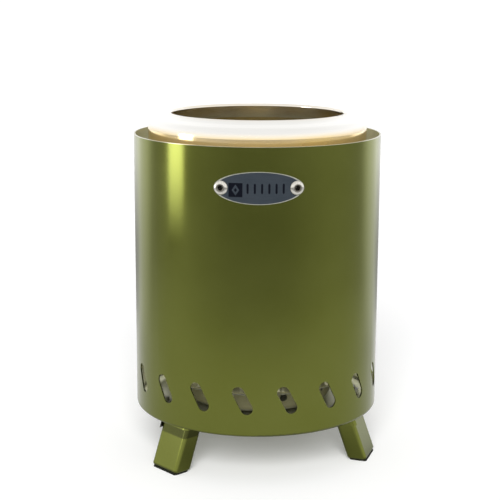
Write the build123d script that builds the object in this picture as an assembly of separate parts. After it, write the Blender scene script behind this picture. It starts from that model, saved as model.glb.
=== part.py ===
from build123d import *
import math
import os

# A small double-walled table-top fire bowl on three splayed legs.
# Millimetres, +Z up. The origin is on the upright axis at the floor, and the nameplate faces -Y.
# Azimuths are in degrees from the front, -Y, turning towards +X.

# Driving dimensions
SHELL_RADIUS = 65.0
SHELL_BOTTOM = 26.3
SHELL_RIM = 172.5
SHEET = 0.8
SHELL_BEND = 1.5
SHELL_FLANGE_RADIUS = 60.5

SLOT_COUNT = 18
SLOT_FIRST_AZIMUTH = -6.8
SLOT_HEIGHT = 45.3
SLOT_LENGTH = 15.5
SLOT_WIDTH = 6.2
SLOT_TILT = 28.0

BASE_RADIUS = 63.3
BASE_THICKNESS = 1.2

BARREL_RADIUS = 54.0
BARREL_TOP = 168.3
BARREL_BOTTOM = 44.0
LEDGE_RADIUS = 41.5
FIRE_HOLE_COUNT = 24
FIRE_HOLE_RADIUS = 2.5
FIRE_HOLE_HEIGHT = 150.0

BRIDGE_TOP = 163.8
BRIDGE_SKIRT_BOTTOM = 156.0

RING_SHEET = 1.0
RING_RADIUS = 57.5
RING_FOOT_RADIUS = 54.5
RING_CROWN = 179.2
RING_WAIST = (49.6, 181.7)
RING_MOUTH_RADIUS = 45.2
RING_LIP_CORNER = 184.4
RING_LIP_BOTTOM = 176.0

PAN_RIM_RADIUS = 44.2
PAN_WALL_RADIUS = 40.6
PAN_BOTTOM = 31.0
PAN_HOLE_COUNT = 18
PAN_HOLE_RADIUS = 2.0
PAN_HOLE_HEIGHT = 38.5

GRATE_SHEET = 1.2
GRATE_TOP = 52.6
GRATE_HOLE_RADIUS = 2.25
GRATE_HOLE_PITCH = 7.5
GRATE_HOLE_RINGS = 5
GRATE_SIDE_HOLE_COUNT = 16
GRATE_SIDE_HOLE_RADIUS = 1.4

PLATE_HEIGHT = 152.7
PLATE_HALF_WIDTH = 22.0
PLATE_HALF_HEIGHT = 8.0
PLATE_THICKNESS = 0.8
PLATE_EDGE = 0.25

RIVET_AZIMUTHS = (-16.3, 16.3)
RIVET_SHANK_RADIUS = 2.0
RIVET_HEAD_RADIUS = 3.5
RIVET_HEAD_HEIGHT = 1.2
RIVET_CROWN_RADIUS = 1.75
RIVET_BULB_RADIUS = 2.9
RIVET_BORE_RADIUS = 1.15

LEG_AZIMUTHS = {"front_left": -48.5, "front_right": 71.5, "rear": 191.5}
LEG_TILT = 20.0
LEG_OUTER_RADIUS = 65.6
LEG_WIDTH = 20.0
LEG_DEPTH = 10.0
LEG_CORNER = 1.8
LEG_INNER_CORNER = 0.5
LEG_WALL = 2.0
LEG_END_ROUNDING = 1.2
PAD_SOLE = 0.8
PAD_INSET = 0.7
PAD_CORNER = 1.3
PAD_PLUG_TOP = 9.0
PAD_PLUG_GAP = 0.1

SOCKET_WALL = 1.4
SOCKET_CLEARANCE = 0.1
SOCKET_CUT_BACK = 23.3
SOCKET_BOTTOM = 19.9
SOCKET_PLATE = 1.5
SOCKET_PLATE_HALF_WIDTH = 21.0
SOCKET_PLATE_INNER = 40.0
SOCKET_PLATE_RADIUS = 60.0
SOCKET_PLATE_CORNER = 4.0

BOLT_OFFSET = 16.5
BOLT_DISTANCE = 50.0
BOLT_RADIUS = 2.0
BOLT_HOLE_RADIUS = 2.15
BOLT_HEAD_RADIUS = 3.8
BOLT_HEAD_HEIGHT = 2.2
BOLT_TIP = 33.2
NUT_HALF_FLATS = 3.5
NUT_HEIGHT = 3.2

LOCK_SCREW_HEIGHT = 22.4
LOCK_SCREW_RADIUS = 1.25
LOCK_SCREW_HOLE_RADIUS = 1.4
LOCK_SCREW_HEAD_RADIUS = 2.25
LOCK_SCREW_HEAD_HEIGHT = 1.5
LOCK_SCREW_LENGTH = 4.4

# Levels that follow from the driving dimensions
BASE_BOTTOM = SHELL_BOTTOM + SHEET
BASE_TOP = BASE_BOTTOM + BASE_THICKNESS
SOCKET_TOP = BASE_BOTTOM - SOCKET_PLATE
LEDGE_TOP = BARREL_BOTTOM + SHEET
PAN_RIM_TOP = LEDGE_TOP + SHEET
SHELL_INNER_RADIUS = SHELL_RADIUS - SHEET
SOCKET_WIDTH = LEG_WIDTH + 2 * (SOCKET_WALL + SOCKET_CLEARANCE)
SOCKET_DEPTH = LEG_DEPTH + 2 * (SOCKET_WALL + SOCKET_CLEARANCE)
REACH = 4 * SHELL_RADIUS

LEG_AXIS_RADIUS = LEG_OUTER_RADIUS - LEG_DEPTH / 2 / math.cos(math.radians(LEG_TILT))
LEG_PLANE = Plane(
    origin=(0, -LEG_AXIS_RADIUS, 0),
    x_dir=(1, 0, 0),
    z_dir=(0, math.sin(math.radians(LEG_TILT)), math.cos(math.radians(LEG_TILT))),
)


def turned(azimuth):
    """Carry something built at the front round to an azimuth."""
    return Rot(0, 0, azimuth)


def outward(height, azimuth=0.0):
    """A plane on the upright axis at a height, with its normal pointing out along an azimuth."""
    across = math.cos(math.radians(azimuth))
    along = math.sin(math.radians(azimuth))
    return Plane(origin=(0, 0, height), x_dir=(across, along, 0), z_dir=(along, -across, 0))


def spun_sheet(points, bends, thickness, side):
    """Spin a bent strip of sheet, drawn as radius and height, about the upright axis."""
    strip = make_face(offset(FilletPolyline(*points, radius=bends), amount=thickness, side=side))
    return revolve(Plane.XZ * strip, Axis.Z)


def spun(points):
    """Spin a closed outline, drawn as radius and height, about the upright axis."""
    return revolve(Plane.XZ * make_face(Polyline(*points, close=True)), Axis.Z)


def radial_cut(sketch, height, azimuth, start, end):
    """A cutter with a sketch's outline, running outward between two radii."""
    face = outward(height, azimuth) * Pos(0, 0, start) * sketch
    return extrude(face, amount=end - start)


def ring_of_holes(count, radius, height, start, end):
    """Round cutters evenly spaced about the axis, running outward between two radii."""
    return [radial_cut(Circle(radius), height, 360 * step / count, start, end) for step in range(count)]


def outer_shell():
    """Straight painted wall with an inward foot flange, slanted air slots and rivet holes."""
    points = [
        (SHELL_RADIUS, SHELL_RIM),
        (SHELL_RADIUS, SHELL_BOTTOM),
        (SHELL_FLANGE_RADIUS, SHELL_BOTTOM),
    ]
    shell = spun_sheet(points, SHELL_BEND, SHEET, Side.RIGHT)
    slot = SlotOverall(SLOT_LENGTH, SLOT_WIDTH, rotation=90 + SLOT_TILT)
    inside = SHELL_INNER_RADIUS - 2
    outside = SHELL_RADIUS + 2
    slots = [
        radial_cut(slot, SLOT_HEIGHT, SLOT_FIRST_AZIMUTH + 360 * step / SLOT_COUNT, inside, outside)
        for step in range(SLOT_COUNT)
    ]
    rivet_holes = [
        radial_cut(Circle(RIVET_SHANK_RADIUS), PLATE_HEIGHT, azimuth, inside, outside)
        for azimuth in RIVET_AZIMUTHS
    ]
    return shell - slots - rivet_holes


def bolt_centres():
    """Where the six leg bolts stand, as places on the floor plane."""
    return [
        turned(azimuth) * Pos(side * BOLT_OFFSET, -BOLT_DISTANCE, 0)
        for azimuth in LEG_AZIMUTHS.values()
        for side in (-1, 1)
    ]


def base_plate():
    """Flat disc resting on the shell's foot flange, drilled for the leg bolts."""
    level = (BASE_BOTTOM + BASE_TOP) / 2
    disc = Pos(0, 0, level) * Cylinder(BASE_RADIUS, BASE_THICKNESS)
    return disc - [centre * Pos(0, 0, level) * Cylinder(BOLT_HOLE_RADIUS, 5) for centre in bolt_centres()]


def firebox():
    """Inner barrel, open at the top, with a ledge at the bottom and a row of fire holes."""
    points = [
        (BARREL_RADIUS, BARREL_TOP),
        (BARREL_RADIUS, BARREL_BOTTOM),
        (LEDGE_RADIUS, BARREL_BOTTOM),
    ]
    barrel = spun_sheet(points, 2.5, SHEET, Side.RIGHT)
    start = BARREL_RADIUS - 5
    end = BARREL_RADIUS + 3
    return barrel - ring_of_holes(FIRE_HOLE_COUNT, FIRE_HOLE_RADIUS, FIRE_HOLE_HEIGHT, start, end)


def bridge_ring():
    """Channel that joins the top of the barrel to the shell and forms the floor of the rim groove."""
    points = [
        (SHELL_INNER_RADIUS, BRIDGE_SKIRT_BOTTOM),
        (SHELL_INNER_RADIUS, BRIDGE_TOP),
        (BARREL_RADIUS, BRIDGE_TOP),
        (BARREL_RADIUS, BRIDGE_SKIRT_BOTTOM),
    ]
    return spun_sheet(points, 1.2, SHEET, Side.LEFT)


def flame_ring():
    """Domed ring with an inturned foot, a rounded shoulder and a lip turned down into the mouth."""
    points = [
        (RING_FOOT_RADIUS, BRIDGE_TOP),
        (RING_RADIUS, BRIDGE_TOP),
        (RING_RADIUS, RING_CROWN),
        RING_WAIST,
        (RING_MOUTH_RADIUS, RING_LIP_CORNER),
        (RING_MOUTH_RADIUS, RING_LIP_BOTTOM),
    ]
    return spun_sheet(points, [1.2, 5.5, 6.0, 1.2], RING_SHEET, Side.LEFT)


def ash_pan():
    """Shallow pan hung by its rim from the barrel's ledge, with air holes in its wall."""
    points = [
        (PAN_RIM_RADIUS, LEDGE_TOP),
        (PAN_WALL_RADIUS, LEDGE_TOP),
        (PAN_WALL_RADIUS, PAN_BOTTOM),
        (0, PAN_BOTTOM),
    ]
    pan = spun_sheet(points, [0.8, 3.0], SHEET, Side.RIGHT)
    start = PAN_WALL_RADIUS - 5
    end = PAN_WALL_RADIUS + 3
    return pan - ring_of_holes(PAN_HOLE_COUNT, PAN_HOLE_RADIUS, PAN_HOLE_HEIGHT, start, end)


def fuel_grate():
    """Perforated dish, upside down on the rim of the ash pan."""
    points = [(PAN_RIM_RADIUS, PAN_RIM_TOP), (PAN_RIM_RADIUS, GRATE_TOP), (0, GRATE_TOP)]
    grate = spun_sheet(points, 2.5, GRATE_SHEET, Side.LEFT)
    hole = Pos(0, 0, GRATE_TOP) * Cylinder(GRATE_HOLE_RADIUS, 6)
    holes = [hole]
    for ring in range(1, GRATE_HOLE_RINGS + 1):
        count = 6 * ring
        holes += [
            Rot(0, 0, 360 * step / count) * Pos(ring * GRATE_HOLE_PITCH, 0, 0) * hole
            for step in range(count)
        ]
    side_level = (PAN_RIM_TOP + GRATE_TOP) / 2 - 0.6
    start = PAN_RIM_RADIUS - 5
    end = PAN_RIM_RADIUS + 3
    side_holes = ring_of_holes(GRATE_SIDE_HOLE_COUNT, GRATE_SIDE_HOLE_RADIUS, side_level, start, end)
    return grate - holes - side_holes


def nameplate():
    """Blank oval plate bent to the curve of the shell, with its outer edge bevelled."""
    oval = outward(PLATE_HEIGHT) * Ellipse(PLATE_HALF_WIDTH, PLATE_HALF_HEIGHT)
    outside = SHELL_RADIUS + PLATE_THICKNESS
    band = Cylinder(outside, 3 * PLATE_HALF_HEIGHT) - Cylinder(SHELL_RADIUS, 3 * PLATE_HALF_HEIGHT)
    plate = extrude(oval, amount=REACH) & Pos(0, 0, PLATE_HEIGHT) * band
    outer_face = plate.faces().filter_by(GeomType.CYLINDER).sort_by(SortBy.AREA)[-1]
    plate = chamfer(outer_face.edges(), PLATE_EDGE)
    holes = [
        radial_cut(Circle(RIVET_SHANK_RADIUS), PLATE_HEIGHT, azimuth, SHELL_RADIUS - 2, outside + 2)
        for azimuth in RIVET_AZIMUTHS
    ]
    return plate - holes


def rivet():
    """Blind rivet built along +Z, with the seat under its head at the origin."""
    grip = PLATE_THICKNESS + SHEET + 0.1
    tail = -4.6
    rim = (RIVET_HEAD_RADIUS, 0.3)
    crown = (RIVET_CROWN_RADIUS, RIVET_HEAD_HEIGHT)
    shank = Polyline(
        (RIVET_BORE_RADIUS, RIVET_HEAD_HEIGHT - 0.5),
        (RIVET_BORE_RADIUS, tail),
        (RIVET_SHANK_RADIUS, tail),
        (RIVET_BULB_RADIUS, tail + 1.2),
        (RIVET_BULB_RADIUS, -grip),
        (RIVET_SHANK_RADIUS, -grip),
        (RIVET_SHANK_RADIUS, 0),
        (RIVET_HEAD_RADIUS, 0),
        rim,
    )
    dome = TangentArc(crown, rim, tangent=(1, 0))
    mouth = TangentArc(crown, (RIVET_BORE_RADIUS, RIVET_HEAD_HEIGHT - 0.5), tangent=(-1, 0))
    return revolve(Plane.XZ * make_face(shank + dome + mouth), Axis.Z)


def mandrel():
    """Broken-off pin left in a blind rivet, built along +Z on the same seat."""
    head_radius = RIVET_SHANK_RADIUS - 0.1
    return spun([
        (0, -6.2),
        (head_radius - 0.7, -6.2),
        (head_radius, -5.5),
        (head_radius, -4.6),
        (RIVET_BORE_RADIUS, -4.6),
        (RIVET_BORE_RADIUS, -1.4),
        (0, -1.1),
    ])


def at_rivets(shape):
    """Set a shape built along +Z on the nameplate at both rivet places."""
    seat = SHELL_RADIUS + PLATE_THICKNESS
    return [outward(PLATE_HEIGHT, azimuth) * Pos(0, 0, seat) * shape for azimuth in RIVET_AZIMUTHS]


def leg_bar(width, depth, corner, low, high, across=0.0, inward=0.0):
    """A bar along the leg's sloping centre line, or beside it, cut level at two heights."""
    section = LEG_PLANE * Pos(across, inward) * RectangleRounded(width, depth, corner)
    bar = extrude(section, amount=REACH, both=True)
    slab = Pos(0, 0, (low + high) / 2) * Box(REACH, REACH, high - low)
    return bar & slab


def lock_screw_line(start, end, radius):
    """A round bar square to the leg's inner face, between two distances from the centre line."""
    slope = math.radians(LEG_TILT)
    along = (LOCK_SCREW_HEIGHT + SOCKET_DEPTH / 2 * math.sin(slope)) / math.cos(slope)
    middle = (start + end) / 2
    return LEG_PLANE * Pos(0, middle, along) * Rot(90, 0, 0) * Cylinder(radius, end - start)


def leg():
    """Rectangular tube, cut level at the socket plate and at the foot."""
    tube = leg_bar(LEG_WIDTH, LEG_DEPTH, LEG_CORNER, PAD_SOLE, SOCKET_TOP)
    end_face = tube.faces().sort_by(Axis.Z)[0]
    tube = fillet(end_face.edges(), LEG_END_ROUNDING)
    inside_width = LEG_WIDTH - 2 * LEG_WALL
    inside_depth = LEG_DEPTH - 2 * LEG_WALL
    hollow = leg_bar(inside_width, inside_depth, LEG_INNER_CORNER, -1, SOCKET_TOP + 1)
    screw_hole = lock_screw_line(1.0, SOCKET_DEPTH, LOCK_SCREW_RADIUS)
    return tube - hollow - screw_hole


def foot_pad():
    """Rubber sole with a plug that pushes up into the leg."""
    sole = leg_bar(LEG_WIDTH - 2 * PAD_INSET, LEG_DEPTH - 2 * PAD_INSET, PAD_CORNER, 0, PAD_SOLE)
    shrink = 2 * (LEG_WALL + PAD_PLUG_GAP)
    plug = leg_bar(LEG_WIDTH - shrink, LEG_DEPTH - shrink, LEG_INNER_CORNER, PAD_SOLE / 2, PAD_PLUG_TOP)
    return sole + plug


def leg_socket():
    """Collar that takes the top of a leg, on a plate bolted under the base.

    The collar is cut back on its outer side and on one flank, and reaches further down on the other two.
    """
    middle = (SOCKET_TOP + BASE_BOTTOM) / 2
    length = REACH / 2 - SOCKET_PLATE_INNER
    strip = RectangleRounded(2 * SOCKET_PLATE_HALF_WIDTH, length, SOCKET_PLATE_CORNER)
    strip = Pos(0, -SOCKET_PLATE_INNER - length / 2, SOCKET_TOP) * strip
    plate = extrude(strip, amount=SOCKET_PLATE) & Pos(0, 0, middle) * Cylinder(SOCKET_PLATE_RADIUS, 10)
    collar = leg_bar(SOCKET_WIDTH, SOCKET_DEPTH, LEG_CORNER + SOCKET_WALL, SOCKET_BOTTOM, middle)
    corner = LEG_CORNER + SOCKET_WALL
    cut_back = leg_bar(SOCKET_WIDTH, SOCKET_DEPTH, corner, 0, SOCKET_CUT_BACK, SOCKET_WALL, -SOCKET_WALL)
    pocket_width = LEG_WIDTH + 2 * SOCKET_CLEARANCE
    pocket_depth = LEG_DEPTH + 2 * SOCKET_CLEARANCE
    pocket = leg_bar(pocket_width, pocket_depth, LEG_CORNER, SOCKET_BOTTOM - 1, SOCKET_TOP)
    bolt_holes = [
        Pos(side * BOLT_OFFSET, -BOLT_DISTANCE, middle) * Cylinder(BOLT_HOLE_RADIUS, 5)
        for side in (-1, 1)
    ]
    screw_hole = lock_screw_line(1.0, SOCKET_DEPTH, LOCK_SCREW_HOLE_RADIUS)
    return plate + collar - cut_back - pocket - bolt_holes - screw_hole


def bolt():
    """Button-head bolt standing on its head, which bears on the socket plate from below."""
    bottom = SOCKET_TOP - BOLT_HEAD_HEIGHT
    head = Pos(0, 0, SOCKET_TOP - BOLT_HEAD_HEIGHT / 2) * Cylinder(BOLT_HEAD_RADIUS, BOLT_HEAD_HEIGHT)
    head = fillet(head.edges().sort_by(Axis.Z)[0], 1.4)
    drive = extrude(Pos(0, 0, bottom) * RegularPolygon(1.25, 6, major_radius=False), amount=1.3)
    shank = Pos(0, 0, (SOCKET_TOP + BOLT_TIP) / 2) * Cylinder(BOLT_RADIUS, BOLT_TIP - SOCKET_TOP)
    shank = chamfer(shank.edges().sort_by(Axis.Z)[-1], 0.4)
    return head - drive + shank


def nut():
    """Hexagon nut on the base plate, with its corners turned off."""
    hexagon = RegularPolygon(NUT_HALF_FLATS, 6, major_radius=False)
    prism = extrude(Pos(0, 0, BASE_TOP) * hexagon, amount=NUT_HEIGHT)
    blank = Pos(0, 0, BASE_TOP + NUT_HEIGHT / 2) * Cylinder(NUT_HALF_FLATS * 1.15, NUT_HEIGHT)
    blank = chamfer(blank.edges().filter_by(GeomType.CIRCLE), 0.45)
    hole = Pos(0, 0, BASE_TOP) * Cylinder(BOLT_RADIUS, 20)
    return (prism & blank) - hole


def lock_screw():
    """Small screw through the inner side of the collar into the leg."""
    face = SOCKET_DEPTH / 2
    head = lock_screw_line(face, face + LOCK_SCREW_HEAD_HEIGHT, LOCK_SCREW_HEAD_RADIUS)
    head = fillet(head.edges().filter_by(GeomType.CIRCLE).sort_by(Axis.Y)[-1], 0.8)
    shank = lock_screw_line(face - LOCK_SCREW_LENGTH, face, LOCK_SCREW_RADIUS)
    return head + shank


def at_bolts(shape):
    """Set an upright shape at both bolt places of the leg at the front."""
    return [Pos(side * BOLT_OFFSET, -BOLT_DISTANCE, 0) * shape for side in (-1, 1)]


def write(name, shapes):
    """Write one node, as one solid or as a group of separate solids."""
    solids = [solid for shape in shapes for solid in shape.solids()]
    node = solids[0] if len(solids) == 1 else Compound(children=solids)
    node.label = name
    export_step(node, f"parts/{name}.step")


os.makedirs("parts", exist_ok=True)

write("outer_shell", [outer_shell()])
write("base_plate", [base_plate()])
write("firebox", [firebox()])
write("bridge_ring", [bridge_ring()])
write("flame_ring", [flame_ring()])
write("ash_pan", [ash_pan()])
write("fuel_grate", [fuel_grate()])
write("nameplate", [nameplate()])
write("nameplate_rivets", at_rivets(rivet()))
write("rivet_mandrels", at_rivets(mandrel()))

for place, azimuth in LEG_AZIMUTHS.items():
    swing = turned(azimuth)
    write(f"leg_{place}", [swing * leg()])
    write(f"leg_socket_{place}", [swing * leg_socket()])
    write(f"foot_pad_{place}", [swing * foot_pad()])
    write(f"leg_bolts_{place}", [swing * shape for shape in at_bolts(bolt())])
    write(f"leg_nuts_{place}", [swing * shape for shape in at_bolts(nut())])
    write(f"leg_lock_screw_{place}", [swing * lock_screw()])
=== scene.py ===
"""Looks, light and camera for a small double-walled table-top stove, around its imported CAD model.

The row frame is in metres: +Z up the stove's axis, -Y out of the middle of the nameplate.
"""
import math

import bpy
from mathutils import Matrix


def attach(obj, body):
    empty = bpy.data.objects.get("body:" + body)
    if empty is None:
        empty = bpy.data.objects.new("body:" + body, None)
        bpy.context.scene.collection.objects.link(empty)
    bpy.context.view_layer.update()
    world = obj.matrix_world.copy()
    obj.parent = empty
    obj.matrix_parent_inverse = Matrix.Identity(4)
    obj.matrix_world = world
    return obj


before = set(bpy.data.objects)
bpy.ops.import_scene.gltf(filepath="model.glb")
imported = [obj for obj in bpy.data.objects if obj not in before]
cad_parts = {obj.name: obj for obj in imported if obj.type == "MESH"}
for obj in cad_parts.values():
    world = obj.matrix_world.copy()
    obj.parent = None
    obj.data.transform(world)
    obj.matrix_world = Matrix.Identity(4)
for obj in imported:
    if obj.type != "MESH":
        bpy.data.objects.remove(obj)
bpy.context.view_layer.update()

MM = 0.001
LEGS = ("front_left", "front_right", "rear")

# Sizes repeated from the CAD model
SHELL_RADIUS = 65 * MM
SHELL_RIM = 172.5 * MM
SLOT_COUNT = 18
SLOT_FIRST = math.radians(-6.8)
SLOT_HEIGHT = 45.3 * MM
SLOT_LENGTH = 15.5 * MM
SLOT_WIDTH = 6.2 * MM
SLOT_TILT = math.radians(28)
PLATE_HEIGHT = 152.7 * MM
PLATE_FACE = SHELL_RADIUS + 0.8 * MM
PLATE_HALF_LENGTH = 22 * MM
PLATE_HALF_HEIGHT = 8 * MM
RIVET_ACROSS = 18.5 * MM


# ---------------------------------------------------------------- camera

CAMERA_PLACE = (-0.00985, -0.6718, 0.2480)
CAMERA_PITCH = math.radians(11.695)
CAMERA_YAW = math.radians(-0.534)
CAMERA_ROLL = math.radians(0.2486)
CAMERA_LENS = 91.8


def make_camera():
    data = bpy.data.cameras.new("camera")
    data.lens = CAMERA_LENS
    data.sensor_width = 36
    data.clip_start = 0.01
    camera = bpy.data.objects.new("camera", data)
    upright = Matrix.Rotation(CAMERA_YAW, 4, "Z") @ Matrix.Rotation(math.pi / 2 - CAMERA_PITCH, 4, "X")
    turned = upright @ Matrix.Rotation(CAMERA_ROLL, 4, "Z")
    camera.matrix_world = Matrix.Translation(CAMERA_PLACE) @ turned
    bpy.context.scene.collection.objects.link(camera)
    bpy.context.scene.camera = camera


# ---------------------------------------------------------------- node building

# Most of a noise's values lie between these two
NOISE_LOW = 0.3
NOISE_HIGH = 0.7


class Graph:
    """One material's nodes. Each method adds a node and returns its output socket."""

    def __init__(self, name):
        self.material = bpy.data.materials.new(name)
        self.material.use_nodes = True
        self.tree = self.material.node_tree
        self.shader = self.tree.nodes["Principled BSDF"]
        coordinates = self.tree.nodes.new("ShaderNodeTexCoord")
        self.place = coordinates.outputs["Object"]
        parts = self.add("ShaderNodeSeparateXYZ", {0: self.place})
        self.x, self.y, self.z = parts.outputs

    def add(self, kind, inputs=None, **settings):
        node = self.tree.nodes.new(kind)
        for key, value in settings.items():
            setattr(node, key, value)
        for key, value in (inputs or {}).items():
            self.feed(value, node.inputs[key])
        return node

    def feed(self, value, socket):
        if isinstance(value, bpy.types.NodeSocket):
            self.tree.links.new(value, socket)
        else:
            socket.default_value = value

    def set(self, **values):
        """Sets the surface shader's inputs: numbers on the sockets themselves, sockets as links."""
        for key, value in values.items():
            self.feed(value, self.shader.inputs[key.replace("_", " ")])

    def math(self, operation, *values):
        return self.add("ShaderNodeMath", dict(enumerate(values)), operation=operation).outputs[0]

    def plus(self, *values):
        total = values[0]
        for value in values[1:]:
            total = self.math("ADD", total, value)
        return total

    def times(self, *values):
        total = values[0]
        for value in values[1:]:
            total = self.math("MULTIPLY", total, value)
        return total

    def length(self, a, b):
        return self.math("SQRT", self.plus(self.times(a, a), self.times(b, b)))

    def span(self, value, low, high, out_low=0.0, out_high=1.0, **settings):
        """Straight-line map of value, held at its ends."""
        inputs = {0: value, 1: low, 2: high, 3: out_low, 4: out_high}
        return self.add("ShaderNodeMapRange", inputs, **settings).outputs[0]

    def step(self, value, low, high, out_low=0.0, out_high=1.0):
        """Smooth step of value from low to high."""
        return self.span(value, low, high, out_low, out_high, interpolation_type="SMOOTHSTEP")

    def spread(self, noise, out_low=0.0, out_high=1.0):
        """Map of a noise's usual range."""
        return self.span(noise, NOISE_LOW, NOISE_HIGH, out_low, out_high)

    def ladder(self, value, points):
        """Straight lines through the points (value, level), held at both ends."""
        level = points[0][1]
        for (low, start), (high, end) in zip(points, points[1:]):
            level = self.plus(level, self.span(value, low, high, 0.0, end - start))
        return level

    def join(self, x, y, z):
        return self.add("ShaderNodeCombineXYZ", {0: x, 1: y, 2: z}).outputs[0]

    def noise(self, scale, vector=None, detail=2.0, roughness=0.5):
        inputs = {"Vector": vector or self.place, "Scale": scale, "Detail": detail, "Roughness": roughness}
        return self.add("ShaderNodeTexNoise", inputs).outputs["Fac"]

    def cells(self, scale):
        """Small patches, each with its own random level from 0 to 1."""
        patches = self.add("ShaderNodeTexVoronoi", {"Vector": self.place, "Scale": scale}).outputs["Color"]
        return self.add("ShaderNodeSeparateColor", {0: patches}).outputs[0]

    def blend(self, factor, a, b):
        """Mix of two colours."""
        node = self.add("ShaderNodeMix", data_type="RGBA", blend_type="MIX")
        self.feed(factor, node.inputs[0])
        self.feed(a, node.inputs[6])
        self.feed(b, node.inputs[7])
        return node.outputs[2]

    def bump(self, height, distance, strength, normal=None):
        inputs = {"Height": height, "Distance": distance, "Strength": strength}
        if normal is not None:
            inputs["Normal"] = normal
        return self.add("ShaderNodeBump", inputs).outputs[0]

    def edges(self, radius):
        """0 on open faces and up to 1 along edges sharper than the radius."""
        rounded = self.add("ShaderNodeBevel", {"Radius": radius}, samples=6).outputs[0]
        true = self.add("ShaderNodeNewGeometry").outputs["Normal"]
        product = self.add("ShaderNodeVectorMath", {0: rounded, 1: true}, operation="DOT_PRODUCT")
        return self.step(self.math("SUBTRACT", 1.0, product.outputs["Value"]), 0.02, 0.25)

    def radius(self):
        """Distance from the stove's axis."""
        return self.length(self.x, self.y)

    def bearing(self):
        """Angle about the axis, from the front towards +X."""
        return self.math("ARCTAN2", self.x, self.times(self.y, -1.0))

    def spun_lines(self, fine, along=3.0):
        """Brush marks that run round the axis, both on upright walls and on flat discs."""
        radius = self.radius()
        angle = self.math("ARCTAN2", self.y, self.x)
        level = self.plus(self.z, radius)
        skew = self.math("SUBTRACT", self.z, radius)
        vector = self.join(self.times(level, fine), self.times(skew, fine), self.times(angle, along))
        return self.noise(1.0, vector, detail=3.0, roughness=0.65)


# ---------------------------------------------------------------- materials

PAINT = (0.143, 0.158, 0.028, 1)
PAINT_LIGHT = (0.190, 0.208, 0.055, 1)
# Painted shadow colour: the shell's shadow across the top of the front left leg
PAINT_SHADOW = (0.030, 0.032, 0.010, 1)
BARE_STEEL = (0.62, 0.60, 0.52, 1)
OVERSPRAYED_STEEL = (0.60, 0.62, 0.34, 1)
POLISHED_LOW = (0.84, 0.83, 0.80, 1)
POLISHED_HIGH = (0.90, 0.89, 0.86, 1)
MOUTH_HEAT = (0.72, 0.60, 0.38, 1)
# Painted reflection colour: warm tan on the flame ring's lower flank
FLANK_PAINTED_REFLECTION = (0.80, 0.58, 0.22, 1)
BRUSHED_LOW = (0.55, 0.55, 0.44, 1)
BRUSHED_HIGH = (0.74, 0.74, 0.60, 1)
BRUSHED_STREAK = (0.44, 0.44, 0.33, 1)
SOOT = (0.10, 0.085, 0.060, 1)
# Painted reflection colour: the shell's olive inside as mirrored on the barrel and pan through the air slots
PAINTED_REFLECTION_OLIVE = (0.42, 0.39, 0.19, 1)
SLATE_LOW = (0.015, 0.021, 0.028, 1)
SLATE_HIGH = (0.022, 0.029, 0.037, 1)
SLATE_CLOUD = (0.028, 0.034, 0.042, 1)
PLATE_EDGE = (0.55, 0.55, 0.48, 1)
ENAMEL_LOW = (0.0015, 0.002, 0.004, 1)
ENAMEL_HIGH = (0.004, 0.005, 0.009, 1)
ZINC_LOW = (0.36, 0.36, 0.36, 1)
ZINC_HIGH = (0.56, 0.56, 0.54, 1)
ZINC_WORN = (0.72, 0.72, 0.70, 1)
MANDREL_LOW = (0.05, 0.05, 0.045, 1)
MANDREL_HIGH = (0.09, 0.085, 0.075, 1)
RIVET_LOW = (0.56, 0.54, 0.48, 1)
RIVET_HIGH = (0.76, 0.74, 0.68, 1)
# Tone of the darker ring round the rivet hole
RIVET_HOLE_DARK = (0.075, 0.065, 0.045, 1)
# Painted shade colour for the outer edge of the rivet head
RIVET_RIM_SHADE = (0.34, 0.32, 0.27, 1)
RUBBER_LOW = (0.008, 0.009, 0.005, 1)
RUBBER_DUST = (0.024, 0.025, 0.018, 1)
RUBBER_WORN = (0.045, 0.046, 0.036, 1)

# Where each finish, painted shade or painted reflection starts and where it is full: heights,
# distances from the axis, and distances from the edge of an air slot or from the middle of a rivet
SLOT_WEAR = (0.55 * MM, 0.05 * MM)
RIM_BARE_HEIGHTS = (SHELL_RIM - 0.25 * MM, SHELL_RIM - 0.1 * MM)
SHELL_INSIDE_RADII = (64.30 * MM, 64.22 * MM)
SHELL_INSIDE_HEIGHTS = (26.6 * MM, 27.0 * MM)
BASE_INSIDE_HEIGHTS = (27.4 * MM, 27.8 * MM)
# Painted shadow on the front left leg, from this height up to the shell
LEG_SHADOW_HEIGHTS = (18.1 * MM, 18.8 * MM)
MOUTH_HEAT_RADII = (49 * MM, 45 * MM)
# Painted reflection on the flame ring's lower flank
FLANK_PAINTED_REFLECTION_RADII = (54 * MM, 57 * MM)
FLANK_PAINTED_REFLECTION_HEIGHTS = (178.5 * MM, 174.0 * MM)
FLANK_FOOT_HEIGHTS = (165 * MM, 171 * MM)
BARREL_OUTSIDE_RADII = (53.5 * MM, 53.6 * MM)
BARREL_LOW_HEIGHTS = (72 * MM, 60 * MM)
PAN_SIDE_RADII = (40.2 * MM, 40.4 * MM)
PAN_SIDE_HEIGHTS = (45 * MM, 44 * MM)
RIVET_HOLE_DARK_RADII = (2.3 * MM, 1.5 * MM)
# Painted shade round the outer edge of the rivet head
RIVET_EDGE_RADII = (3.0 * MM, 3.4 * MM)


def slot_distance(g):
    """Distance outward from the edge of the nearest air slot in the shell."""
    pitch = 2 * math.pi / SLOT_COUNT
    turned = g.plus(g.bearing(), -SLOT_FIRST, pitch / 2 + 2 * math.pi)
    across = g.times(g.plus(g.math("MODULO", turned, pitch), -pitch / 2), SHELL_RADIUS)
    up = g.plus(g.z, -SLOT_HEIGHT)
    cos, sin = math.cos(SLOT_TILT), math.sin(SLOT_TILT)
    along = g.plus(g.times(up, cos), g.times(across, -sin))
    side = g.plus(g.times(across, cos), g.times(up, sin))
    straight = (SLOT_LENGTH - SLOT_WIDTH) / 2
    beyond = g.math("MAXIMUM", g.plus(g.math("ABSOLUTE", along), -straight), 0.0)
    return g.plus(g.length(side, beyond), -SLOT_WIDTH / 2)


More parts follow.
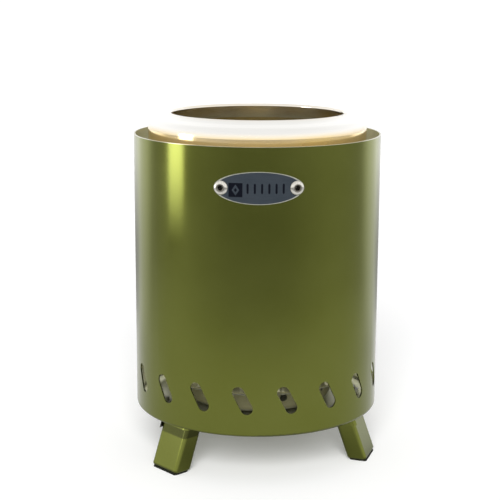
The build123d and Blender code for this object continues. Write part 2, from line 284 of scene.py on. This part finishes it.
def paint(name, shell=False, floor_plate=False, shell_shadow=False, gloss=0.150):
    """Satin metallic olive paint: fine flake, faint orange peel, thin spots along the edges.

    Inside the double wall the shell and the floor plate are steel with only a mist of paint on it.
    """
    g = Graph(name)
    cloud = g.noise(38.0, detail=3.0)
    tone = g.blend(g.span(cloud, 0.35, 0.65, 0.0, 0.16), PAINT, PAINT_LIGHT)
    flake = g.cells(3600.0)
    tone = g.blend(g.span(flake, 0.55, 1.0, 0.0, 0.22), tone, PAINT_LIGHT)
    worn = g.times(g.edges(0.7 * MM), g.span(g.noise(420.0), 0.35, 0.6, 0.25, 1.0))
    if shell:
        slot = g.times(g.step(slot_distance(g), *SLOT_WEAR), 0.7)
        worn = g.math("MAXIMUM", worn, slot)
    tone = g.blend(g.times(worn, 0.55), tone, PAINT_LIGHT)
    rough = g.plus(g.spread(cloud, gloss, gloss + 0.035), g.times(g.noise(900.0), 0.03))
    metal = 1.0
    inside = None
    if shell:
        rim = g.times(g.step(g.z, *RIM_BARE_HEIGHTS), 0.8)
        tone = g.blend(rim, tone, BARE_STEEL)
        rough = g.plus(rough, g.times(rim, 0.12))
        inside = g.times(g.step(g.radius(), *SHELL_INSIDE_RADII), g.step(g.z, *SHELL_INSIDE_HEIGHTS))
    if floor_plate:
        inside = g.step(g.z, *BASE_INSIDE_HEIGHTS)
    if inside is not None:
        tone = g.blend(inside, tone, g.blend(g.spun_lines(900.0), OVERSPRAYED_STEEL, BARE_STEEL))
        rough = g.plus(rough, g.times(inside, 0.14))
        metal = g.span(inside, 0.0, 1.0, 1.0, 0.5)
    # Painted shadow: a dark band at the top of the leg under the shell's overhang, broken up by the paint's
    # cloud noise
    if shell_shadow:
        shadow_band = g.times(g.step(g.z, *LEG_SHADOW_HEIGHTS), g.spread(cloud, 0.55, 0.7))
        tone = g.blend(shadow_band, tone, PAINT_SHADOW)
    peel = g.noise(620.0, detail=1.0)
    g.set(
        Base_Color=tone,
        Metallic=metal,
        Roughness=rough,
        Coat_Weight=0.12,
        Coat_Roughness=0.12,
        Normal=g.bump(peel, 0.012 * MM, 0.35),
    )
    return g.material


def polished(name):
    """Polished stainless steel with faint spun marks, tinted by heat near the mouth, and with a painted warm
    reflection on its lower flank.
    """
    g = Graph(name)
    lines = g.spun_lines(2600.0)
    cloud = g.noise(30.0, detail=3.0)
    radius = g.radius()
    tone = g.blend(g.spread(lines, 0.0, 0.5), POLISHED_LOW, POLISHED_HIGH)
    heat = g.times(g.step(radius, *MOUTH_HEAT_RADII), g.spread(cloud, 0.35, 1.0))
    tone = g.blend(g.times(heat, 0.5), tone, MOUTH_HEAT)
    # Painted reflection: a warm tan band, less metallic, on the ring's lower flank inside the shell's groove
    flank = g.times(g.step(g.z, *FLANK_PAINTED_REFLECTION_HEIGHTS), g.step(radius, *FLANK_PAINTED_REFLECTION_RADII))
    flank = g.times(flank, g.step(g.z, *FLANK_FOOT_HEIGHTS, 0.25, 1.0), g.spread(cloud, 0.7, 1.0))
    tone = g.blend(flank, tone, FLANK_PAINTED_REFLECTION)
    g.set(
        Base_Color=tone,
        Metallic=g.span(flank, 0.0, 1.0, 1.0, 0.72),
        Roughness=g.plus(g.spread(lines, 0.09, 0.13), g.spread(cloud, 0.0, 0.03)),
        Normal=g.bump(lines, 0.004 * MM, 0.5),
    )
    return g.material


def brushed(name, dark, barrel=False, pan=False):
    """Brushed stainless steel, browned and dulled by fire, more so with a higher dark.

    Low on their outer sides, which show through the air slots, the barrel and the pan have an olive
    painted reflection of the shell's inside, and the barrel is also wavy and shinier there.
    """
    g = Graph(name)
    lines = g.spun_lines(1500.0)
    broad = g.spun_lines(260.0, along=1.5)
    cloud = g.noise(45.0, detail=4.0, roughness=0.6)
    tone = g.blend(g.spread(lines), BRUSHED_LOW, BRUSHED_HIGH)
    tone = g.blend(g.span(broad, 0.35, 0.65, 0.0, 0.35), tone, BRUSHED_STREAK)
    soot = g.times(g.span(cloud, 0.35, 0.7, 0.3, 1.0), dark)
    tone = g.blend(soot, tone, SOOT)
    rough = g.plus(g.spread(lines, 0.26, 0.38), g.times(soot, 0.25))
    metal = 0.6
    waves = None
    if pan:
        # Painted reflection: olive tint low on the pan's outer side
        side = g.times(g.step(g.z, *PAN_SIDE_HEIGHTS), g.step(g.radius(), *PAN_SIDE_RADII))
        tone = g.blend(g.times(side, 0.6), tone, PAINTED_REFLECTION_OLIVE)
    if barrel:
        # Painted reflection: olive tint low on the barrel's outer side; the waves and gloss there are real
        # surface
        low = g.times(g.step(g.z, *BARREL_LOW_HEIGHTS), g.step(g.radius(), *BARREL_OUTSIDE_RADII))
        tone = g.blend(g.times(low, 0.5), tone, PAINTED_REFLECTION_OLIVE)
        rough = g.plus(rough, g.times(low, -0.14))
        metal = g.span(low, 0.0, 1.0, 0.6, 0.75)
        waves = g.bump(g.times(g.noise(115.0, detail=1.5), low), 2.6 * MM, 1.0)
    g.set(
        Base_Color=tone,
        Metallic=metal,
        Roughness=rough,
        Specular_IOR_Level=0.3,
        Normal=g.bump(lines, 0.02 * MM, 0.5, waves),
    )
    return g.material


def plate(name):
    """Slate satin plate with a bright bevelled edge and faint lengthways brushing."""
    g = Graph(name)
    across = g.times(g.bearing(), PLATE_FACE)
    up = g.plus(g.z, -PLATE_HEIGHT)
    reach = g.length(g.times(across, 1 / PLATE_HALF_LENGTH), g.times(up, 1 / PLATE_HALF_HEIGHT))
    lines = g.noise(1.0, g.join(g.times(across, 120.0), g.times(up, 4200.0), 0.0), detail=3.0)
    cloud = g.noise(150.0)
    edge = g.times(g.step(reach, 0.955, 0.985), g.span(g.noise(500.0), 0.3, 0.6, 0.55, 1.0))
    tone = g.blend(g.spread(lines), SLATE_LOW, SLATE_HIGH)
    tone = g.blend(g.span(cloud, 0.35, 0.7, 0.0, 0.3), tone, SLATE_CLOUD)
    tone = g.blend(edge, tone, PLATE_EDGE)
    g.set(
        Base_Color=tone,
        Metallic=g.times(edge, 0.9),
        Roughness=g.plus(g.spread(lines, 0.40, 0.50), g.times(edge, -0.15)),
        Specular_IOR_Level=0.25,
        Normal=g.bump(lines, 0.006 * MM, 0.4),
    )
    return g.material


def enamel(name):
    """Near-black enamel filling of the plate's motif."""
    g = Graph(name)
    grain = g.noise(2400.0)
    g.set(
        Base_Color=g.blend(grain, ENAMEL_LOW, ENAMEL_HIGH),
        Roughness=g.spread(grain, 0.6, 0.75),
        Specular_IOR_Level=0.06,
        Normal=g.bump(grain, 0.01 * MM, 0.4),
    )
    return g.material


def zinc(name, low=ZINC_LOW, high=ZINC_HIGH):
    """Zinc-plated steel: small crystal patches, a little dull."""
    g = Graph(name)
    patches = g.cells(700.0)
    grain = g.noise(1800.0, detail=3.0)
    tone = g.blend(patches, low, high)
    tone = g.blend(g.times(g.edges(0.4 * MM), 0.5), tone, ZINC_WORN)
    g.set(
        Base_Color=tone,
        Metallic=1.0,
        Roughness=g.plus(g.spread(grain, 0.26, 0.4), g.times(patches, 0.06)),
        Normal=g.bump(grain, 0.01 * MM, 0.4),
    )
    return g.material


def rivet_steel(name):
    """Bright plated rivet head, darker and rougher in the dimple round its hole, with painted shade round
    its outer edge.
    """
    g = Graph(name)
    across = g.times(g.bearing(), SHELL_RADIUS)
    from_hole = g.length(g.plus(g.math("ABSOLUTE", across), -RIVET_ACROSS), g.plus(g.z, -PLATE_HEIGHT))
    grain = g.noise(1900.0, detail=3.0)
    tone = g.blend(g.spread(grain), RIVET_LOW, RIVET_HIGH)
    # A darker, rougher ring round the hole
    hole_ring = g.times(g.step(from_hole, *RIVET_HOLE_DARK_RADII), g.spread(grain, 0.75, 1.0))
    tone = g.blend(hole_ring, tone, RIVET_HOLE_DARK)
    # Painted shade round the outer edge of the head
    tone = g.blend(g.times(g.step(from_hole, *RIVET_EDGE_RADII), 0.5), tone, RIVET_RIM_SHADE)
    g.set(
        Base_Color=tone,
        Metallic=1.0,
        Roughness=g.plus(g.spread(grain, 0.12, 0.18), g.times(hole_ring, 0.2)),
        Normal=g.bump(grain, 0.006 * MM, 0.4),
    )
    return g.material


def rubber(name):
    """Black moulded rubber, dusty in its grain."""
    g = Graph(name)
    grain = g.noise(1500.0, detail=4.0, roughness=0.6)
    dust = g.noise(120.0, detail=3.0)
    tone = g.blend(g.span(dust, 0.4, 0.7, 0.0, 0.5), RUBBER_LOW, RUBBER_DUST)
    tone = g.blend(g.times(g.edges(0.5 * MM), 0.4), tone, RUBBER_WORN)
    g.set(
        Base_Color=tone,
        Roughness=g.spread(grain, 0.62, 0.82),
        Specular_IOR_Level=0.12,
        Normal=g.bump(grain, 0.03 * MM, 0.5),
    )
    return g.material


def dress(material, *nodes):
    for name in nodes:
        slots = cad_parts[name].data.materials
        slots.clear()
        slots.append(material)


def dress_all():
    dress(paint("shell_paint", shell=True), "outer_shell")
    dress(paint("base_paint", floor_plate=True), "base_plate")
    dress(polished("polished_steel"), "flame_ring")
    dress(brushed("barrel_steel", dark=0.2, barrel=True), "firebox")
    dress(brushed("brushed_steel", dark=0.2), "bridge_ring")
    dress(brushed("fire_brushed_steel", dark=0.55), "fuel_grate")
    dress(brushed("pan_steel", dark=0.55, pan=True), "ash_pan")
    dress(plate("slate_plate"), "nameplate")
    dress(rivet_steel("rivet_steel"), "nameplate_rivets")
    dress(zinc("mandrel_steel", MANDREL_LOW, MANDREL_HIGH), "rivet_mandrels")
    leg_paint = paint("leg_paint", gloss=0.16)
    zinc_steel = zinc("zinc_steel")
    rubber_black = rubber("rubber_black")
    for leg in LEGS:
        dress(leg_paint, f"leg_{leg}", f"leg_socket_{leg}")
        dress(zinc_steel, f"leg_bolts_{leg}", f"leg_nuts_{leg}", f"leg_lock_screw_{leg}")
        dress(rubber_black, f"foot_pad_{leg}")
    # The front left leg gets a painted shadow of the shell across its top
    dress(paint("shadowed_leg_paint", shell_shadow=True, gloss=0.16), "leg_front_left")


# ---------------------------------------------------------------- nameplate motif

MOTIF_STAND = 0.09 * MM
MOTIF_SUNK = 0.05 * MM
MOTIF_BEVEL = 0.06 * MM
MOTIF_SHARES = (0.3, 0.55, 0.8)
BADGE_ACROSS = -11.4 * MM
BADGE_UP = -0.9 * MM
BADGE_HALF = 3.4 * MM
RHOMBUS_HALF_WIDTH = 1.9 * MM
RHOMBUS_HALF_HEIGHT = 2.7 * MM
RHOMBUS_CORE = 0.4
BAR_COUNT = 6
BAR_FIRST = -5.5 * MM
BAR_PITCH = 3.5 * MM
BAR_UP = -0.2 * MM
BAR_HALF_WIDTH = 0.5 * MM
BAR_HALF_HEIGHT = 2.6 * MM
BAR_SHOULDER = 0.8


def new_object(name, vertices, faces, material, smooth=True):
    mesh = bpy.data.meshes.new(name)
    mesh.from_pydata(vertices, [], faces)
    mesh.validate()
    mesh.materials.append(material)
    for face in mesh.polygons:
        face.use_smooth = smooth
    piece = bpy.data.objects.new(name, mesh)
    bpy.context.scene.collection.objects.link(piece)
    return piece


def on_plate(across, up, stand):
    """Point on the bent plate: arc length across, height above its middle, stand above its face."""
    angle = across / PLATE_FACE
    radius = PLATE_FACE + stand
    return (radius * math.sin(angle), -radius * math.cos(angle), PLATE_HEIGHT + up)


def outline(w, h, corner_w, corner_h):
    """Eight corners of a shape of half width w and half height h, with its slanted corners between."""
    right = [(w, 0), (corner_w, corner_h), (0, h), (-corner_w, corner_h)]
    return right + [(-x, -y) for x, y in right]


def rhombus(scale=1.0):
    w, h = RHOMBUS_HALF_WIDTH * scale, RHOMBUS_HALF_HEIGHT * scale
    return outline(w, h, w / 2, h / 2)


def around_outline(corners, per_edge=6):
    """Points along a closed outline, the same number on each edge."""
    points = []
    for (ax, ay), (bx, by) in zip(corners, corners[1:] + corners[:1]):
        for step in range(per_edge):
            share = step / per_edge
            points.append((ax + (bx - ax) * share, ay + (by - ay) * share))
    return points


def inlay(middle, corners, hole=None):
    """Vertices and faces of a thin raised shape on the plate, solid or with a hole in it."""
    outer = around_outline(corners)
    inner = around_outline(hole) if hole else [(0.0, 0.0)] * len(outer)
    bevel = MOTIF_BEVEL / max(math.hypot(*corner) for corner in corners)
    shoulder = MOTIF_STAND - MOTIF_BEVEL
    profile = [(0.0, -MOTIF_SUNK), (0.0, shoulder), (bevel, MOTIF_STAND)]
    profile += [(share, MOTIF_STAND) for share in MOTIF_SHARES]
    if hole:
        profile += [(1.0 - bevel, MOTIF_STAND), (1.0, shoulder), (1.0, -MOTIF_SUNK)]
    vertices = []
    for share, stand in profile:
        for (ox, oy), (ix, iy) in zip(outer, inner):
            across = middle[0] + ox + (ix - ox) * share
            up = middle[1] + oy + (iy - oy) * share
            vertices.append(on_plate(across, up, stand))
    count = len(outer)
    faces = []
    for ring in range(len(profile) - 1):
        for i in range(count):
            j = (i + 1) % count
            low, high = ring * count, (ring + 1) * count
            faces.append((low + i, low + j, high + j, high + i))
    if not hole:
        last = (len(profile) - 1) * count
        tip = len(vertices)
        vertices.append(on_plate(*middle, MOTIF_STAND))
        faces += [(last + i, last + (i + 1) % count, tip) for i in range(count)]
    return vertices, faces


def make_motif():
    """A plain pattern and no lettering: a square with a rhombus in it, and a row of upright bars."""
    badge = (BADGE_ACROSS, BADGE_UP)
    square = outline(BADGE_HALF, BADGE_HALF, BADGE_HALF, BADGE_HALF)
    bar = outline(BAR_HALF_WIDTH, BAR_HALF_HEIGHT, BAR_HALF_WIDTH, BAR_HALF_HEIGHT * BAR_SHOULDER)
    shapes = [inlay(badge, square, rhombus()), inlay(badge, rhombus(RHOMBUS_CORE))]
    for i in range(BAR_COUNT):
        shapes.append(inlay((BAR_FIRST + i * BAR_PITCH, BAR_UP), bar))
    vertices, faces = [], []
    for shape_vertices, shape_faces in shapes:
        first = len(vertices)
        vertices += shape_vertices
        faces += [tuple(first + i for i in face) for face in shape_faces]
    motif = new_object("nameplate_motif", vertices, faces, enamel("motif_enamel"), smooth=False)
    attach(motif, "body")


# ---------------------------------------------------------------- back seam

SEAM_ANGLE = SLOT_FIRST + math.pi + math.pi / SLOT_COUNT
SEAM_HALF_WIDTH = 1.1 * MM
SEAM_STAND = 0.16 * MM
SEAM_SUNK = 0.1 * MM
SEAM_LOW = 27.0 * MM
SEAM_HIGH = SHELL_RIM - 0.6 * MM
SEAM_ROWS = 220
SEAM_COLUMNS = 10
SEAM_END_ROWS = 3
SEAM_ROUNDNESS = 0.8
SEAM_WANDER = 0.1


def make_seam():
    """Painted-over weld bead up the back of the shell, between two air slots."""
    vertices, faces = [], []
    for row in range(SEAM_ROWS + 1):
        height = SEAM_LOW + (SEAM_HIGH - SEAM_LOW) * row / SEAM_ROWS
        swell = 1.0 + 0.12 * math.sin(height * 2300) + 0.06 * math.sin(height * 5100 + 1.0)
        stand = SEAM_STAND * swell + SEAM_SUNK
        half_width = SEAM_HALF_WIDTH * (1.0 - SEAM_WANDER + SEAM_WANDER * swell)
        ends = min(1.0, row / SEAM_END_ROWS, (SEAM_ROWS - row) / SEAM_END_ROWS)
        for column in range(SEAM_COLUMNS + 1):
            share = 2 * column / SEAM_COLUMNS - 1
            crown = stand * math.cos(share * math.pi / 2) ** SEAM_ROUNDNESS * ends
            radius = SHELL_RADIUS - SEAM_SUNK + crown
            angle = SEAM_ANGLE + share * half_width / SHELL_RADIUS
            vertices.append((radius * math.sin(angle), -radius * math.cos(angle), height))
    across = SEAM_COLUMNS + 1
    for row in range(SEAM_ROWS):
        for column in range(SEAM_COLUMNS):
            low, high = row * across + column, (row + 1) * across + column
            faces.append((low, low + 1, high + 1, high))
    seam = new_object("shell_seam", vertices, faces, bpy.data.materials["shell_paint"])
    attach(seam, "body")


# ---------------------------------------------------------------- floor and light

# Strength of the white room: on the floor, as seen, and as mirrored near the horizon and overhead
WORLD_LIGHT = 0.50
WORLD_SEEN = 1.1
WORLD_LOW_MIRRORED = 1.18
WORLD_HIGH_MIRRORED = 1.02
WORLD_LOW = 0.3
WORLD_HIGH = 0.95

KEY_STRENGTH = 3.6
KEY_HEIGHT = math.radians(30)
KEY_SIDE = math.radians(3)
KEY_SOFTNESS = math.radians(32)

# Small enough that a disc has no hole to be seen in its middle
DISC_MIDDLE = 0.00001
DISC_SIDES = 96
FLOOR_RADII = (DISC_MIDDLE, 0.2, 0.5, 2.0, 8.0, 30.0)
FLOOR_GLOW = 0.13

# Brightness of the felt as (distance from the axis, level): everywhere, and what is added towards the
# sides, in a lobe behind on either side, and straight behind. The angles are degrees from the front.
FELT_RADII = (DISC_MIDDLE, 0.15, 0.3, 0.6, 1.5, 3.0)
FELT_LIFT = 0.2 * MM
# The dim middle of these levels is a painted shadow of the stove on the floor, seen only in mirrored metal
FELT_SHADOW_NEAR = ((0.0, 0.22), (0.05, 0.33), (0.085, 0.70), (0.12, 0.84), (0.18, 0.88), (0.25, 0.86))
FELT_FAR = ((0.30, 0.78), (0.38, 0.57), (0.48, 0.45), (0.6, 0.41), (0.9, 0.37), (1.4, 0.34))
FELT_SIDES = ((0.25, 0.0), (0.38, 0.22), (1.4, 0.25))
FELT_LOBE = ((0.25, 0.0), (0.38, 0.25), (0.6, 0.45), (1.3, 0.95))
FELT_BACK = ((0.25, 0.0), (0.35, -0.3), (0.6, -0.2), (0.75, 0.0), (1.3, 0.6))
SIDES_ANGLES = (12.0, 75.0)
LOBE_ANGLE = 129.0
LOBE_SPREAD = (24.0, 6.0)
BACK_ANGLES = (132.0, 146.0)

SLOT_LIGHT_RADII = (57.5 * MM, 62.5 * MM)
SLOT_LIGHT_HEIGHT = 29.2 * MM
SLOT_GLOW = 1.3

STRIP_ENDS = ((-0.427, -0.053), (-0.404, -0.174))
STRIP_BOTTOM = 0.045
STRIP_TOP = 0.26
STRIP_FADE = 0.08
STRIP_STRENGTH = 6.3


def show_only_to(thing, diffuse=False, glossy=False):
    thing.visible_camera = False
    thing.visible_diffuse = diffuse
    thing.visible_glossy = glossy
    thing.visible_transmission = False
    thing.visible_volume_scatter = False
    thing.visible_shadow = False


def ring_of_faces(name, radii, height, material):
    """Flat ring or disc made of quads round the axis."""
    vertices = []
    for radius in radii:
        for side in range(DISC_SIDES):
            angle = 2 * math.pi * side / DISC_SIDES
            vertices.append((radius * math.cos(angle), radius * math.sin(angle), height))
    faces = []
    for ring in range(len(radii) - 1):
        for i in range(DISC_SIDES):
            j = (i + 1) % DISC_SIDES
            low, high = ring * DISC_SIDES, (ring + 1) * DISC_SIDES
            faces.append((low + i, high + i, high + j, low + j))
    return new_object(name, vertices, faces, material)


def glow_material(name):
    g = Graph(name)
    g.tree.nodes.remove(g.shader)
    glow = g.add("ShaderNodeEmission")
    g.tree.links.new(glow.outputs[0], g.tree.nodes["Material Output"].inputs[0])
    return g, glow


def make_floor():
    g = Graph("studio_floor")
    g.set(Base_Color=(0.90, 0.90, 0.90, 1), Roughness=0.9, Specular_IOR_Level=0.1)
    g.set(Emission_Color=(1, 1, 1, 1), Emission_Strength=FLOOR_GLOW)
    floor = ring_of_faces("studio_floor", FLOOR_RADII, 0.0, g.material)


def make_felt():
    """What the walls mirror of the studio near floor level: dim in front, bright behind to both sides, with
    a painted shadow of the stove in its middle.
    """
    g, glow = glow_material("felt")
    radius = g.radius()
    sideways = g.math("ABSOLUTE", g.x)
    angle = g.math("DEGREES", g.math("ARCTAN2", sideways, g.times(g.y, -1.0)))
    off_lobe = g.math("ABSOLUTE", g.plus(angle, -LOBE_ANGLE))
    level = g.plus(
        g.ladder(radius, FELT_SHADOW_NEAR + FELT_FAR),
        g.times(g.ladder(radius, FELT_SIDES), g.step(angle, *SIDES_ANGLES)),
        g.times(g.ladder(radius, FELT_LOBE), g.step(off_lobe, *LOBE_SPREAD)),
        g.times(g.ladder(radius, FELT_BACK), g.step(angle, *BACK_ANGLES)),
    )
    g.feed(level, glow.inputs["Strength"])
    felt = ring_of_faces("felt", FELT_RADII, FELT_LIFT, g.material)
    show_only_to(felt, glossy=True)


def make_slot_light():
    """Faint glow in the gap between the walls, so that the air slots don't look into pure dark."""
    g, glow = glow_material("slot_light")
    glow.inputs["Strength"].default_value = SLOT_GLOW
    ring = ring_of_faces("slot_light", SLOT_LIGHT_RADII, SLOT_LIGHT_HEIGHT, g.material)
    show_only_to(ring, diffuse=True)


def make_world():
    """White room: dim as light on the floor, brighter in mirrored metal, brightest near the horizon."""
    world = bpy.data.worlds.new("studio")
    world.use_nodes = True
    tree = world.node_tree

    def calculate(operation, *values):
        node = tree.nodes.new("ShaderNodeMath")
        node.operation = operation
        for value, socket in zip(values, node.inputs):
            if isinstance(value, bpy.types.NodeSocket):
                tree.links.new(value, socket)
            else:
                socket.default_value = value
        return node.outputs[0]

    path = tree.nodes.new("ShaderNodeLightPath")
    direction = tree.nodes.new("ShaderNodeTexCoord")
    parts = tree.nodes.new("ShaderNodeSeparateXYZ")
    tree.links.new(direction.outputs["Generated"], parts.inputs[0])
    height = tree.nodes.new("ShaderNodeMapRange")
    height.interpolation_type = "SMOOTHSTEP"
    tree.links.new(parts.outputs["Z"], height.inputs[0])
    levels = (WORLD_LOW, WORLD_HIGH, WORLD_LOW_MIRRORED, WORLD_HIGH_MIRRORED)
    for socket, value in zip(list(height.inputs)[1:5], levels):
        socket.default_value = value
    mirrored = calculate("SUBTRACT", height.outputs[0], WORLD_LIGHT)
    mirrored = calculate("MULTIPLY", mirrored, path.outputs["Is Glossy Ray"])
    seen = calculate("MULTIPLY", WORLD_SEEN - WORLD_LIGHT, path.outputs["Is Camera Ray"])
    level = calculate("ADD", calculate("ADD", mirrored, seen), WORLD_LIGHT)
    background = tree.nodes["Background"]
    background.inputs["Color"].default_value = (1, 1, 1, 1)
    tree.links.new(level, background.inputs["Strength"])
    bpy.context.scene.world = world


def make_key():
    """Broad soft light from above the camera, a little to the left."""
    data = bpy.data.lights.new("key", "SUN")
    data.energy = KEY_STRENGTH
    data.angle = KEY_SOFTNESS
    key = bpy.data.objects.new("key", data)
    key.rotation_euler = (math.pi / 2 - KEY_HEIGHT, 0, -KEY_SIDE)
    key.visible_glossy = False
    bpy.context.scene.collection.objects.link(key)


def make_strip_light():
    """Upright glowing card to the left, mirrored as the bright band on the wall. It fades in at the foot."""
    g, glow = glow_material("strip_light")
    level = g.times(g.step(g.z, STRIP_BOTTOM, STRIP_BOTTOM + STRIP_FADE), STRIP_STRENGTH)
    g.feed(level, glow.inputs["Strength"])
    (ax, ay), (bx, by) = STRIP_ENDS
    vertices = [(ax, ay, STRIP_BOTTOM), (bx, by, STRIP_BOTTOM), (bx, by, STRIP_TOP), (ax, ay, STRIP_TOP)]
    card = new_object("strip_light", vertices, [(0, 1, 2, 3)], g.material, smooth=False)
    show_only_to(card, glossy=True)


make_camera()
dress_all()
make_motif()
make_seam()
make_floor()
make_felt()
make_slot_light()
make_world()
make_key()
make_strip_light()
bpy.context.scene.view_settings.view_transform = "Standard"
bpy.context.scene.cycles.max_bounces = 20
bpy.context.scene.cycles.glossy_bounces = 14
